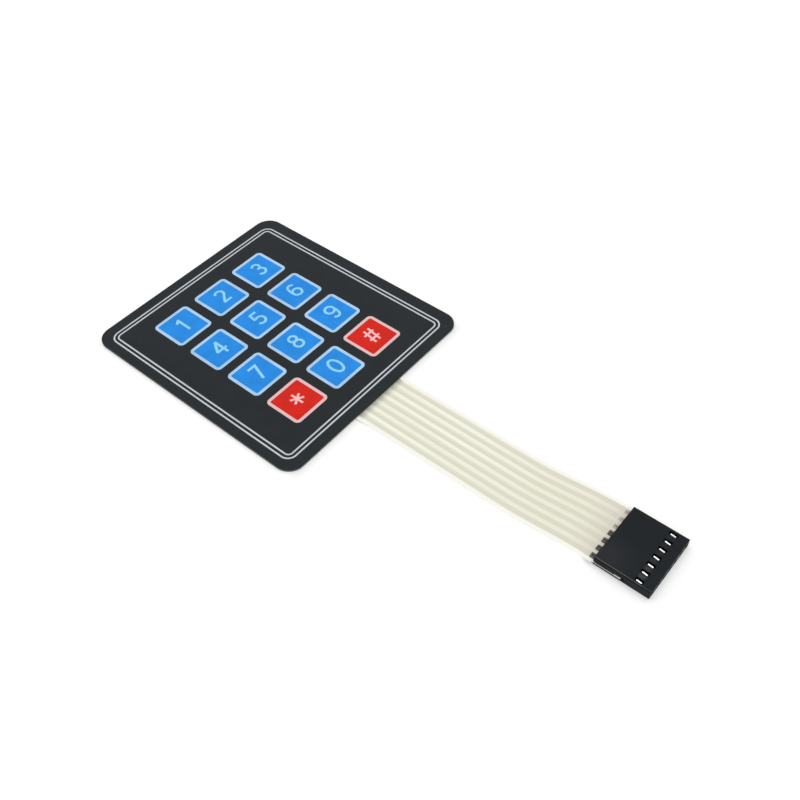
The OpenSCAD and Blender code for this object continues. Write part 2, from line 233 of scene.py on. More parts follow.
class EffectShelf:
    """Builds each shared effect once, as a shader node group."""

    mottle_scale: float = 0.03
    mottle_edge: Range = (0.32, 0.68)
    speck_edge: Range = (0.05, 0.14)
    streak_edge: Range = (0.3, 0.7)
    scuff_stretch: Place = (0.05, 1.0, 1.0)
    scuff_half: float = 0.014
    patch_scale: float = 140.0
    patch_edge: Range = (0.52, 0.66)

    def __init__(self) -> None:
        """Start with no groups made."""
        self._made: dict[Effect, bpy.types.NodeTree] = {}

    def group(self, effect: Effect) -> bpy.types.NodeTree:
        """Give an effect's group, made at its first use.

        Args:
            effect: which effect.

        Returns:
            The node group.
        """
        if effect not in self._made:
            builders = {
                Effect.GRAIN: self._grain,
                Effect.SCREEN: self._screen,
                Effect.DUST: self._dust,
                Effect.STREAK: self._streak,
                Effect.HAIRLINE: self._hairline,
            }
            self._made[effect] = builders[effect]()
        return self._made[effect]

    @staticmethod
    def _open(
        effect: Effect, inputs: dict[str, float], outputs: tuple[str, ...]
    ) -> tuple[Sketch, bpy.types.NodeOutputs, bpy.types.NodeInputs]:
        """Start a group with its sockets.

        Args:
            effect: which effect it is.
            inputs: each input's name and default.
            outputs: the outputs' names.

        Returns:
            The sketch of the group, the values given to it and the places of its results.
        """
        tree = bpy.data.node_groups.new(effect.value, "ShaderNodeTree")
        for label, value in inputs.items():
            made = tree.interface.new_socket(label, in_out="INPUT", socket_type="NodeSocketFloat")
            made.default_value = value
        for label in outputs:
            tree.interface.new_socket(label, in_out="OUTPUT", socket_type="NodeSocketFloat")
        sketch = Sketch(tree)
        return sketch, sketch.add("NodeGroupInput").outputs, sketch.add("NodeGroupOutput").inputs

    def _grain(self) -> bpy.types.NodeTree:
        """Build a fine relief with a broad, soft mottle.

        Returns:
            The node group.
        """
        sketch, given, out = self._open(Effect.GRAIN, {"Scale": 5000.0}, ("Height", "Mottle"))
        at = sketch.place()
        sketch.feed(out["Height"], sketch.noise(at, given["Scale"]))
        mottle = sketch.noise(at, sketch.product(given["Scale"], self.mottle_scale), detail=4.0)
        sketch.feed(out["Mottle"], sketch.band(mottle, *self.mottle_edge))
        return sketch.tree

    def _screen(self) -> bpy.types.NodeTree:
        """Build the fine lattice that a printing screen leaves in ink.

        Returns:
            The node group.
        """
        sketch, given, out = self._open(Effect.SCREEN, {"Threads": 9000.0}, ("Height",))
        turns = sketch.product(given["Threads"], 2 * math.pi)
        waves = [sketch.math("SINE", sketch.product(axis, turns)) for axis in sketch.axes()[:2]]
        sketch.feed(out["Height"], sketch.band(sketch.product(*waves), -1.0, 1.0))
        return sketch.tree

    def _dust(self) -> bpy.types.NodeTree:
        """Build a few small specks, strewn at random.

        Returns:
            The node group.
        """
        sketch, given, out = self._open(Effect.DUST, {"Scale": 400.0, "Share": 0.1}, ("Mask",))
        feeds = {"Vector": sketch.place(), "Scale": given["Scale"]}
        cells = sketch.add("ShaderNodeTexVoronoi", feeds).outputs
        lot = sketch.add("ShaderNodeSeparateColor", {0: cells["Color"]}).outputs[0]
        chosen = sketch.math("LESS_THAN", lot, given["Share"])
        spot = sketch.band(cells["Distance"], *self.speck_edge, *FALLING)
        sketch.feed(out["Mask"], sketch.product(chosen, spot))
        return sketch.tree

    def _streak(self) -> bpy.types.NodeTree:
        """Build streaks that run along Y, as on drawn film and rolled metal.

        Returns:
            The node group.
        """
        sketch, given, out = self._open(Effect.STREAK, {"Scale": 900.0, "Length": 20.0}, ("Mask",))
        across = given["Scale"]
        along = sketch.math("DIVIDE", across, given["Length"])
        scaled = [sketch.product(*pair) for pair in zip(sketch.axes(), (across, along, across))]
        joined = sketch.add("ShaderNodeCombineXYZ", dict(enumerate(scaled)))
        lines = sketch.noise(joined.outputs[0], scale=1.0)
        sketch.feed(out["Mask"], sketch.band(lines, *self.streak_edge))
        return sketch.tree

    def _hairline(self) -> bpy.types.NodeTree:
        """Build faint broken scuffs along one slanting direction.

        Returns:
            The node group.
        """
        sketch, given, out = self._open(Effect.HAIRLINE, {"Scale": 600.0, "Angle": 0.6}, ("Mask",))
        feeds = {"Vector": sketch.place(), "Angle": given["Angle"]}
        turned = sketch.add("ShaderNodeVectorRotate", feeds, rotation_type="Z_AXIS").outputs[0]
        stretch = {0: turned, 1: self.scuff_stretch}
        stretched = sketch.add("ShaderNodeVectorMath", stretch, operation="MULTIPLY").outputs[0]
        lines = sketch.noise(stretched, given["Scale"], detail=1.0)
        thin = sketch.band(sketch.away(lines, 0.5), 0.0, self.scuff_half, *FALLING)
        patches = sketch.noise(turned, self.patch_scale, detail=1.0)
        broken = sketch.band(patches, *self.patch_edge)
        sketch.feed(out["Mask"], sketch.product(thin, broken))
        return sketch.tree


@dataclass(frozen=True)
class Finish:
    """One finish: its name, colour and gloss."""

    name: str
    colour: Rgb
    roughness: float = 0.5
    specular: float = 0.5
    metallic: float = 0.0

    def material(self, shelf: EffectShelf) -> bpy.types.Material:
        """Make the finish's material.

        Args:
            shelf: where the shared effects are kept.

        Returns:
            The new material.
        """
        made = bpy.data.materials.new(self.name)
        made.use_nodes = True
        shader = made.node_tree.nodes["Principled BSDF"]
        shader.inputs["Specular IOR Level"].default_value = self.specular
        shader.inputs["Metallic"].default_value = self.metallic
        sketch = Sketch(made.node_tree, shelf)
        for label, socket in zip(("Base Color", "Roughness", "Normal"), self.paint(sketch)):
            sketch.feed(shader.inputs[label], socket)
        return made

    def paint(self, sketch: Sketch) -> Surface:
        """Paint the finish.

        Args:
            sketch: the material's sketch.

        Returns:
            The sockets of its colour, roughness and normal.
        """
        raise NotImplementedError

    def tones(self, sketch: Sketch, mask: object, spread: float) -> Socket:
        """Spread the colour a little each way.

        Args:
            sketch: the material's sketch.
            mask: what chooses between the two ends.
            spread: the share that each end departs by.

        Returns:
            The colour's socket.
        """
        dark = shade(self.colour, 1 - spread)
        light = shade(self.colour, 1 + spread)
        return sketch.blend(mask, dark, light)

    def gloss(self, sketch: Sketch, mask: object, spread: float) -> Socket:
        """Spread the roughness by an amount each way, as a mask chooses."""
        return sketch.band(mask, 0.0, 1.0, self.roughness - spread, self.roughness + spread)


@dataclass(frozen=True)
class OverlayFilm(Finish):
    """Matt black overlay film with a velvet grain, dust and faint scuffs."""

    grain: float = 6500.0
    rim: Rgb = (35, 41, 44)
    rim_width: float = 1.2
    half_width: float = 30.4
    half_length: float = 34.4
    dust: Rgb = (96, 99, 102)
    dust_share: float = 0.3
    scuff_gloss: float = 0.1

    def paint(self, sketch: Sketch) -> Surface:
        """Paint the film, a little paler along its rim.

        Args:
            sketch: the material's sketch.

        Returns:
            The sockets of its colour, roughness and normal.
        """
        grain = sketch.effect(Effect.GRAIN, Scale=self.grain)
        dust = sketch.effect(Effect.DUST, Scale=330.0, Share=0.05)
        scuff = sketch.effect(Effect.HAIRLINE, Scale=520.0, Angle=0.7)
        x, y, _ = sketch.axes()
        past_side = sketch.math("SUBTRACT", sketch.math("ABSOLUTE", x), self.half_width * MM)
        past_end = sketch.math("SUBTRACT", sketch.math("ABSOLUTE", y), self.half_length * MM)
        rim = sketch.span(sketch.math("MAXIMUM", past_side, past_end), (0.0, self.rim_width))
        base = self.tones(sketch, grain["Mottle"], spread=0.06)
        base = sketch.blend(rim, base, self.rim)
        base = sketch.blend(sketch.product(dust["Mask"], self.dust_share), base, self.dust)
        rough = self.gloss(sketch, grain["Mottle"], spread=0.05)
        wear_and_highlight = sketch.product(scuff["Mask"], self.scuff_gloss)
        relief = sketch.bump(grain["Height"], strength=0.25, depth_mm=0.02)
        return base, sketch.math("SUBTRACT", rough, wear_and_highlight), relief


@dataclass(frozen=True)
class ScreenInk(Finish):
    """Screen-printed ink, with the mesh of the screen and an uneven coat."""

    threads: float = 9000.0
    spread: float = 0.03
    dust_share: float = 0.15
    dust_tone: float = 1.25

    def base(self, sketch: Sketch, mottle: Socket) -> Socket:
        """Give the ink's own colour, made a little uneven by a mottle."""
        return self.tones(sketch, mottle, self.spread)

    def paint(self, sketch: Sketch) -> Surface:
        """Paint the ink.

        Args:
            sketch: the material's sketch.

        Returns:
            The sockets of its colour, roughness and normal.
        """
        mesh = sketch.effect(Effect.SCREEN, Threads=self.threads)
        grain = sketch.effect(Effect.GRAIN, Scale=9000.0)
        dust = sketch.effect(Effect.DUST, Scale=420.0, Share=0.03)
        specks = sketch.product(dust["Mask"], self.dust_share)
        pale = shade(self.colour, self.dust_tone)
        base = sketch.blend(specks, self.base(sketch, grain["Mottle"]), pale)
        both = sketch.math("ADD", mesh["Height"], grain["Height"])
        relief = sketch.bump(both, strength=0.15, depth_mm=0.006)
        return base, self.gloss(sketch, grain["Mottle"], spread=0.04), relief


@dataclass(frozen=True)
class FrameInk(ScreenInk):
    """Thin white ink of the key frames, through which the keys' own inks show."""

    over_red: Rgb = (232, 193, 196)
    middle: float = -0.45
    red_from: float = 7.5
    red_below: float = -15.0

    def base(self, sketch: Sketch, mottle: Socket) -> Socket:
        """Give the colour over the blue keys, and over the two red ones.

        Args:
            sketch: the material's sketch.
            mottle: what chooses between its tones.

        Returns:
            The colour's socket.
        """
        x, y, _ = sketch.axes()
        outer = sketch.above(sketch.away(x, self.middle * MM), self.red_from)
        lowest = sketch.below(y, self.red_below)
        over_blue = self.tones(sketch, mottle, self.spread)
        return sketch.blend(sketch.product(outer, lowest), over_blue, self.over_red)


@dataclass(frozen=True)
class TailFinish(Finish):
    """Finish of the tail: darker toward the connector, with painted shade just before the connector
    and a painted shadow of the panel's edge at its root.
    """

    far: Rgb = (238, 236, 218)
    # The end colour is painted shade just before the connector; the root colour is a painted shadow
    # that the panel's edge casts on the tail.
    end: Rgb = (226, 222, 206)
    root: Rgb = (150, 149, 134)
    far_along: Range = (-66.0, -98.0)
    connector_shade_along: Range = (-98.0, -109.0)
    panel_shadow_along: Range = (-38.4, -40.9)
    panel_shadow_share: float = 0.7
    bend_along: Range = (-82.4, -106.4)
    offset: float = -0.95

    def middle(self, sketch: Sketch, y: Socket) -> Socket:
        """Give the x of the tail's middle line, in metres, at a place along it."""
        return sketch.span(y, self.bend_along, (self.offset * MM, 0.0))

    def darkened_with_painted_shade(self, sketch: Sketch, y: Socket, base: Socket) -> Socket:
        """Darken a colour toward the connector, with painted shade just before it and a painted
        shadow beside the panel.

        Args:
            sketch: the material's sketch.
            y: the place along the tail.
            base: the colour on the plain length.

        Returns:
            The colour's socket.
        """
        for along, shares, tone in (
            (self.far_along, RISING, self.far),
            (self.connector_shade_along, RISING, self.end),
            (self.panel_shadow_along, (self.panel_shadow_share, 0.0), self.root),
        ):
            base = sketch.blend(sketch.span(y, along, shares), base, tone)
        return base


@dataclass(frozen=True)
class CircuitFilm(TailFinish):
    """Milky polyester film with clear margins, streaked along its length, with painted shade and
    painted light where it lies in the housing's side slots.
    """

    inner: Rgb = (120, 121, 116)
    panel_end: float = -38.4
    margin: Rgb = (252, 252, 244)
    margin_edge: Range = (8.1, 8.6)
    # Painted shade on the film inside the side slots, a paler lit rim along its edge there, and a
    # painted highlight on the front part of the slots.
    slot: Rgb = (52, 52, 50)
    slot_start: Range = (-109.0, -109.4)
    slot_end: Range = (-114.8, -114.3)
    slot_lit_rim: Rgb = (214, 213, 208)
    rim_edge: Range = (8.88, 8.92)
    slot_front_highlight: Rgb = (255, 255, 253)
    front_start: Range = (-114.3, -114.7)
    front_end: Range = (-116.1, -116.2)

    def _slot_light_and_shade(self, sketch: Sketch, y: Socket, off: Socket, base: Socket) -> Socket:
        """Paint shade and light on the film where it lies in the housing's side slots.

        Args:
            sketch: the material's sketch.
            y: the place along the tail.
            off: the distance from the tail's middle line.
            base: the colour outside the slots.

        Returns:
            The colour's socket: painted shade with a paler lit rim, then a painted highlight, then
            painted shade.
        """
        rim = sketch.span(off, self.rim_edge)
        slot_shade_and_rim = sketch.blend(rim, self.slot, self.slot_lit_rim)
        rear = sketch.product(sketch.span(y, self.slot_start), sketch.span(y, self.slot_end))
        base = sketch.blend(rear, base, slot_shade_and_rim)
        base = sketch.blend(sketch.span(y, self.front_start), base, self.slot_front_highlight)
        return sketch.blend(sketch.span(y, self.front_end), base, self.slot)

    def paint(self, sketch: Sketch) -> Surface:
        """Paint the film.

        Args:
            sketch: the material's sketch.

        Returns:
            The sockets of its colour, roughness and normal.
        """
        streak = sketch.effect(Effect.STREAK, Scale=700.0, Length=24.0)
        grain = sketch.effect(Effect.GRAIN, Scale=5200.0)
        x, y, _ = sketch.axes()
        base = self.darkened_with_painted_shade(sketch, y, self.tones(sketch, streak["Mask"], spread=0.02))
        off = sketch.away(x, self.middle(sketch, y))
        base = sketch.blend(sketch.span(off, self.margin_edge), base, self.margin)
        base = self._slot_light_and_shade(sketch, y, off, base)
        inside = sketch.above(y, self.panel_end)
        base = sketch.blend(inside, base, self.inner)
        both = sketch.math("ADD", streak["Mask"], grain["Height"])
        relief = sketch.bump(both, strength=0.12, depth_mm=0.02)
        return base, self.gloss(sketch, streak["Mask"], spread=0.06), relief


@dataclass(frozen=True)
class SilverInk(TailFinish):
    """Printed silver conductor, full of fine flakes, darker along one side of each line and lighter
    along the other.
    """

    far: Rgb = (223, 221, 200)
    # The end colour is painted shade just before the connector; the root colour is a painted shadow
    # of the panel's edge.
    end: Rgb = (220, 215, 199)
    root: Rgb = (134, 133, 121)
    flakes: float = 12000.0
    pitch: float = 2.44
    contact_pitch: float = 2.54
    flake_edge: Range = (0.35, 0.65)
    side_ramp: Range = (-0.2, 0.25)
    flake_share: float = 0.25
    whole_share: float = 0.67
    lean: float = 0.027

    def paint(self, sketch: Sketch) -> Surface:
        """Paint the ink.

        Args:
            sketch: the material's sketch.

        Returns:
            The sockets of its colour, roughness and normal.
        """
        flakes = sketch.effect(Effect.GRAIN, Scale=self.flakes)
        streak = sketch.effect(Effect.STREAK, Scale=500.0, Length=30.0)
        fine = sketch.band(flakes["Height"], *self.flake_edge)
        uneven = sketch.product(sketch.math("ADD", fine, streak["Mask"]), self.flake_share)
        x, y, _ = sketch.axes()
        pitch = sketch.span(y, self.bend_along, (self.pitch * MM, self.contact_pitch * MM))
        off = sketch.math("SUBTRACT", x, self.middle(sketch, y))
        across = sketch.band(sketch.repeat(sketch.math("DIVIDE", off, pitch)), *self.side_ramp)
        mixed = sketch.product(sketch.math("ADD", uneven, across), self.whole_share)
        base = self.darkened_with_painted_shade(sketch, y, self.tones(sketch, mixed, self.lean))
        relief = sketch.bump(flakes["Height"], strength=0.15, depth_mm=0.01)
        return base, self.gloss(sketch, fine, spread=0.08), relief


@dataclass(frozen=True)
class SheetLayer(Finish):
    """Plain sheet or adhesive layer, with a soft mottle and a fine tooth."""

    tooth: float = 4200.0
    spread: float = 0.05
    relief: float = 0.2
    speck_share: float = 0.25
    speck_tone: float = 0.8

    def paint(self, sketch: Sketch) -> Surface:
        """Paint the layer.

        Args:
            sketch: the material's sketch.

        Returns:
            The sockets of its colour, roughness and normal.
        """
        grain = sketch.effect(Effect.GRAIN, Scale=self.tooth)
        dust = sketch.effect(Effect.DUST, Scale=500.0, Share=0.06)
        specks = sketch.product(dust["Mask"], self.speck_share)
        dark = shade(self.colour, self.speck_tone)
        base = sketch.blend(specks, self.tones(sketch, grain["Mottle"], self.spread), dark)
        relief = sketch.bump(grain["Height"], self.relief, depth_mm=0.015)
        return base, self.gloss(sketch, grain["Mottle"], spread=0.06), relief


@dataclass(frozen=True)
class MouldedBlack(Finish):
    """Black moulded plastic with a spark-eroded grain, handling marks, painted shade on its side
    faces and a painted highlight along the ridge of its top.
    """

    grain: float = 8200.0
    dust: Rgb = (104, 106, 108)
    dust_share: float = 0.18
    # The next colour is painted shade on the housing's side faces.
    flank_shade: Rgb = (16, 18, 20)
    flank_start: float = 8.86
    top_level: float = 2.54
    bloom: Rgb = (38, 40, 45)
    bloom_across: Range = (2.0, -8.0)
    bloom_along: Range = (-120.0, -111.0)
    smudge: Rgb = (96, 97, 100)
    smudge_across: Range = (-6.4, 1.0)
    smudge_shares: Range = (0.75, 0.1)
    smudge_edge: Range = (0.3, 1.2)
    window_pitch: float = 2.54
    window_gap: Range = (0.1, 0.3)
    window_line: float = -119.9
    # The next colour is a painted highlight along the long ridge of the top.
    wear_and_highlight: Rgb = (108, 109, 111)
    ridge: float = -8.47
    ridge_edge: Range = (0.032, 0.08)
    ridge_along: Range = (-123.0, -116.0)
    ridge_shares: Range = (0.55, 1.0)
    unbroken: float = 0.7
    broken_share: float = 0.35

    def _smudged(self, sketch: Sketch, x: Socket, y: Socket) -> Socket:
        """Give how far the plastic between the windows is smudged.

        Args:
            sketch: the material's sketch.
            x: the place across the housing.
            y: the place along it.

        Returns:
            The share's socket.
        """
        lines = sketch.math("DIVIDE", x, self.window_pitch * MM)
        between = sketch.math("ABSOLUTE", sketch.repeat(lines, 0.5))
        return sketch.product(
            sketch.band(between, *self.window_gap, *FALLING),
            sketch.span(x, self.smudge_across, self.smudge_shares),
            sketch.span(sketch.away(y, self.window_line * MM), self.smudge_edge, FALLING),
        )

    def _ridge_highlight_share(self, sketch: Sketch, x: Socket, y: Socket, mottle: Socket) -> Socket:
        """Give the share of the painted highlight along the long ridge of the top.

        Args:
            sketch: the material's sketch.
            x: the place across the housing.
            y: the place along it.
            mottle: what breaks the highlight up.

        Returns:
            The share's socket.
        """
        return sketch.product(
            sketch.span(sketch.away(x, self.ridge * MM), self.ridge_edge, FALLING),
            sketch.band(mottle, 0.0, self.unbroken, self.broken_share, 1.0),
            sketch.span(y, self.ridge_along, self.ridge_shares),
        )

    def paint(self, sketch: Sketch) -> Surface:
        """Paint the plastic, then its marks, painted shade and painted highlight one over the
        other.

        Args:
            sketch: the material's sketch.

        Returns:
            The sockets of its colour, roughness and normal.
        """
        grain = sketch.effect(Effect.GRAIN, Scale=self.grain)
        dust = sketch.effect(Effect.DUST, Scale=700.0, Share=0.04)
        scuff = sketch.effect(Effect.HAIRLINE, Scale=900.0, Angle=1.1)
        x, y, z = sketch.axes()
        marks = sketch.math("ADD", dust["Mask"], scuff["Mask"])
        shaded_side = sketch.above(sketch.math("ABSOLUTE", x), self.flank_start)
        upper = sketch.above(z, self.top_level)
        rear_left = (sketch.span(x, self.bloom_across), sketch.span(y, self.bloom_along))
        base = self.tones(sketch, grain["Mottle"], spread=0.12)
        for factors, tone in (
            ((marks, self.dust_share), self.dust),
            ((shaded_side,), self.flank_shade),
            ((*rear_left, upper), self.bloom),
            ((self._smudged(sketch, x, y), upper, grain["Height"]), self.smudge),
            ((self._ridge_highlight_share(sketch, x, y, grain["Mottle"]), upper), self.wear_and_highlight),
        ):
            base = sketch.blend(sketch.product(*factors), base, tone)
        relief = sketch.bump(grain["Height"], strength=0.2, depth_mm=0.015)
        return base, self.gloss(sketch, grain["Mottle"], spread=0.07), relief


@dataclass(frozen=True)
class TinPlate(Finish):
    """Tin-plated strip with the lines of the roll along it, darker on the crimps at -X and pale on
    those at +X, with painted shade in its contact boxes.
    """

    lines: float = 5200.0
    contact_pitch: float = 2.54
    crimp: Rgb = (112, 110, 103)
    crimp_edge: Range = (-109.3, -108.9)
    crimp_haze: float = 0.45
    bright_crimp: Rgb = (219, 215, 203)
    bright_edge: Range = (0.6, 1.9)
    seam: Rgb = (84, 81, 74)
    seam_place: float = -0.42
    seam_edge: Range = (0.063, 0.09)
    # The next two colours are painted shade inside the contact box: black above its middle, dark
    # metal below.
    box_top_shade: Rgb = (10, 10, 11)
    inside: Rgb = (58, 56, 52)
    lance_half: float = 0.17
    lance_front: float = -120.62
    crest_level: float = 1.98
    box_start: float = -118.3
    box_middle: float = 1.3

    def _across(self, sketch: Sketch, x: Socket) -> Socket:
        """Give how far a place is from its terminal's middle, in metres."""
        pitch = self.contact_pitch * MM
        return sketch.product(sketch.repeat(sketch.math("DIVIDE", x, pitch)), pitch)

    def _crimped(self, sketch: Sketch, x: Socket) -> Socket:
        """Give the colour of the crimps: dull on one side, bright with a seam on the other.

        Args:
            sketch: the material's sketch.
            x: the place across the terminals.

        Returns:
            The colour's socket.
        """
        off = sketch.away(self._across(sketch, x), self.seam_place * MM)
        seam = sketch.span(off, self.seam_edge, FALLING)
        bright = sketch.blend(seam, self.bright_crimp, self.seam)
        return sketch.blend(sketch.span(x, self.bright_edge), self.crimp, bright)

    def _box_shade_mask(self, sketch: Sketch, axes: tuple[Socket, ...]) -> Socket:
        """Tell the contact box, where shade is painted, from the crest of its lance, which keeps
        the plain metal.

        Args:
            sketch: the material's sketch.
            axes: the object's x, y and z.

        Returns:
            The socket of 1 on the box and 0 on the crest and behind the box.
        """
        x, y, z = axes
        across = sketch.math("ABSOLUTE", self._across(sketch, x))
        off = sketch.above(across, self.lance_half)
        for axis, limit in ((y, self.lance_front), (z, self.crest_level)):
            off = sketch.math("MAXIMUM", off, sketch.below(axis, limit))
        return sketch.product(off, sketch.below(y, self.box_start))

    def paint(self, sketch: Sketch) -> Surface:
        """Paint the metal.

        Args:
            sketch: the material's sketch.

        Returns:
            The sockets of its colour, roughness and normal.
        """
        lines = sketch.effect(Effect.STREAK, Scale=self.lines, Length=14.0)["Mask"]
        grain = sketch.effect(Effect.GRAIN, Scale=14000.0)
        mean = sketch.product(sketch.math("ADD", lines, grain["Mottle"]), 1 / 2)
        x, y, z = sketch.axes()
        behind = sketch.span(y, self.crimp_edge)
        base = sketch.blend(behind, self.tones(sketch, mean, spread=0.05), self._crimped(sketch, x))
        upper = sketch.above(z, self.box_middle)
        # Painted shade over the contact box, all but the crest of the lance.
        box_shade = sketch.blend(upper, self.inside, self.box_top_shade)
        base = sketch.blend(self._box_shade_mask(sketch, (x, y, z)), base, box_shade)
        hazy = sketch.product(behind, self.crimp_haze)
        rough = sketch.math("ADD", self.gloss(sketch, lines, spread=0.08), hazy)
        return base, rough, sketch.bump(lines, strength=0.08, depth_mm=0.006)


class Paintbox:
    """Keeps one material for each finish and puts it on pieces."""

    def __init__(self) -> None:
        """Start with no materials made."""
        self._shelf = EffectShelf()
        self._made: dict[Finish, bpy.types.Material] = {}

    def coat(self, piece: bpy.types.Object, finish: Finish) -> None:
        """Put a finish on a piece.

        Args:
            piece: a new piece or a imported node's object.
            finish: the finish to wear.
        """
        if finish not in self._made:
            self._made[finish] = finish.material(self._shelf)
        material = self._made[finish]
        if not piece.material_slots:
            piece.data.materials.append(material)
        for slot in piece.material_slots:
            slot.material = material
        LOG.info("%s wears %s", piece.name, finish.name)

    def coat_nodes(self, finishes: dict[str, Finish]) -> None:
        """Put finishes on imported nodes.

        Args:
            finishes: each node's name and its finish.
        """
        for name, finish in finishes.items():
            self.coat(frame["nodes"][name], finish)


def linked(bm: bmesh.types.BMesh, name: str) -> bpy.types.Object:
    """Turn a bmesh into an object of the scene.

    Args:
        bm: the mesh; it is freed.
        name: the object's name.

    Returns:
        The new object.
    """
    mesh = bpy.data.meshes.new(name)
    bm.to_mesh(mesh)
    bm.free()
    made = bpy.data.objects.new(name, mesh)
    bpy.context.scene.collection.objects.link(made)
    return made


def merge(bm: bmesh.types.BMesh, reach: float) -> None:
    """Merge a mesh's close corners and its flat faces.

    Args:
        bm: the mesh.
        reach: how close the merged corners are, in the mesh's own unit.
    """
    bmesh.ops.remove_doubles(bm, verts=bm.verts[:], dist=reach)
    bmesh.ops.dissolve_limit(bm, angle_limit=FLAT_ANGLE, verts=bm.verts[:], edges=bm.edges[:])


def piece_from(bm: bmesh.types.BMesh, name: str) -> bpy.types.Object:
    """Turn a finished bmesh into a piece that rides on the part.

    Args:
        bm: the mesh, in metres in the shared frame; it is freed.
        name: the piece's name.

    Returns:
        The new piece.
    """
    piece = linked(bm, name)
    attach(piece, ROOT)
    return piece


class Pen:
    """Draws one stroke of a legend as a flat ribbon, in millimetres."""

    step_angle = 7.5
    fewest_steps = 4

    def __init__(self, width: float) -> None:
        """Hold the stroke's width and an empty mesh.

        Args:
            width: the stroke's width.
        """
        self.width = width
        self.bm = bmesh.new()
        self._edge: bmesh.types.BMEdge | None = None
        self._heading = 0.0
        self._mitre = 0.0

    def _middle(self) -> Vector:
        """Give the middle of the ribbon's open end."""
        first, second = self._edge.verts
        return (first.co + second.co) / 2

    def _turn_end(self, angle: float, stretch: float) -> None:
        """Turn and stretch the ribbon's open end about its middle.

        Args:
            angle: the turn in radians, left positive.
            stretch: the factor on its width.
        """
        ends = list(self._edge.verts)
        there = Matrix.Translation(self._middle())
        moved = there @ Matrix.Rotation(angle, 4, "Z") @ Matrix.Scale(stretch, 4) @ there.inverted()
        bmesh.ops.transform(self.bm, matrix=moved, verts=ends)

    def begin(self, x: float, y: float, heading: float) -> None:
        """Set the pen down.

        Args:
            x: where the stroke starts, to the right of the key's middle.
            y: where it starts, above the key's middle.
            heading: its direction in degrees, anticlockwise from the right.
        """
        self._heading = math.radians(heading)
        side = Vector((-math.sin(self._heading), math.cos(self._heading), 0.0)) * self.width / 2
        ends = [self.bm.verts.new(Vector((x, y, 0.0)) + way * side) for way in (-1, 1)]
        self._edge = self.bm.edges.new(ends)

    def line(self, length: float) -> None:
        """Push the ribbon's end straight on.

        Args:
            length: how far.
        """
        made = bmesh.ops.extrude_edge_only(self.bm, edges=[self._edge])["geom"]
        ends = [g for g in made if isinstance(g, bmesh.types.BMVert)]
        way = Vector((math.cos(self._heading), math.sin(self._heading), 0.0)) * length
        bmesh.ops.translate(self.bm, verts=ends, vec=way)
        self._edge = self.bm.edges.get(ends)
        if self._mitre:
            self._turn_end(self._mitre, math.cos(self._mitre))
            self._mitre = 0.0

    def corner(self, angle: float) -> None:
        """Mitre the ribbon's end for a sharp bend.

        Args:
            angle: the bend in degrees, left positive.
        """
        self._mitre = math.radians(angle) / 2
        self._turn_end(self._mitre, 1 / math.cos(self._mitre))
        self._heading += 2 * self._mitre

    def arc(self, radius: float, angle: float) -> None:
        """Spin the ribbon's end about a point beside it.

        Args:
            radius: the bend's radius at the ribbon's middle.
            angle: the turn in degrees, left positive.
        """
        turn = math.radians(angle)
        side = math.copysign(radius, angle)
        left = Vector((-math.sin(self._heading), math.cos(self._heading), 0.0))
        full = abs(angle) >= 360
        made = bmesh.ops.spin(
            self.bm,
            geom=[*self._edge.verts, self._edge],
            cent=self._middle() + left * side,
            axis=(0.0, 0.0, 1.0),
            dvec=(0.0, 0.0, 0.0),
            angle=turn,
            steps=max(self.fewest_steps, round(abs(angle) / self.step_angle)),
            use_merge=full,
            use_duplicate=False,
        )["geom_last"]
        self._heading += turn
        if not full:
            self._edge = next(g for g in made if isinstance(g, bmesh.types.BMEdge))


@dataclass(frozen=True)
class Line:
    """A straight run of a stroke."""

    length: float

    def draw(self, pen: Pen) -> None:
        """Draw the run."""
        pen.line(self.length)


@dataclass(frozen=True)
class Arc:
    """A round run of a stroke, left turns positive."""

    radius: float
    angle: float

    def draw(self, pen: Pen) -> None:
        """Draw the run."""
        pen.arc(self.radius, self.angle)


@dataclass(frozen=True)
class Corner:
    """A sharp bend between two runs, left turns positive."""

    angle: float

    def draw(self, pen: Pen) -> None:
        """Draw the bend."""
        pen.corner(self.angle)


@dataclass(frozen=True)
class Stroke:
    """One stroke of a legend: where it starts, its heading and its runs."""

    x: float
    y: float
    heading: float
    runs: tuple[Line | Arc | Corner, ...]

    def solid(self, width: float) -> bmesh.types.BMesh:
        """Draw the stroke and raise it by 1 mm.

        Args:
            width: the stroke's width.

        Returns:
            A closed solid in millimetres.
        """
        pen = Pen(width)
        pen.begin(self.x, self.y, self.heading)
        for run in self.runs:
            run.draw(pen)
        bm = pen.bm
        bmesh.ops.remove_doubles(bm, verts=bm.verts[:], dist=0.01)
        made = bmesh.ops.extrude_face_region(bm, geom=bm.faces[:])["geom"]
        raised = [g for g in made if isinstance(g, bmesh.types.BMVert)]
        bmesh.ops.translate(bm, verts=raised, vec=(0.0, 0.0, 1.0))
        bmesh.ops.recalc_face_normals(bm, faces=bm.faces[:])
        return bm

    def turned(self) -> Stroke:
        """Give the stroke turned by half a turn about the key's middle."""
        return Stroke(-self.x, -self.y, self.heading + 180.0, self.runs)


def ring(y: float, radius: float) -> Stroke:
    """Make a round ring on the key's middle line.

    Args:
        y: the height of its middle.
        radius: its radius at the stroke's middle.

    Returns:
        The ring's stroke.
    """
    return Stroke(radius, y, 90.0, (Arc(radius, 360.0),))


def oval(half_width: float, half_height: float, end_radius: float) -> Stroke:
    """Make an upright oval of four arcs about the key's middle.

    Args:
        half_width: its half width at the stroke's middle.
        half_height: its half height there.
        end_radius: the radius of its two ends.

    Returns:
        The oval's stroke.
    """
    rise = half_height - end_radius
    spare = half_width - end_radius
    side_radius = (half_width**2 + rise**2 - end_radius**2) / (2 * spare)
    lean = math.degrees(math.atan2(rise, side_radius - half_width))
    side, end = Arc(side_radius, lean), Arc(end_radius, 180 - 2 * lean)
    return Stroke(half_width, 0.0, 90.0, (side, end, side, side, end, side))


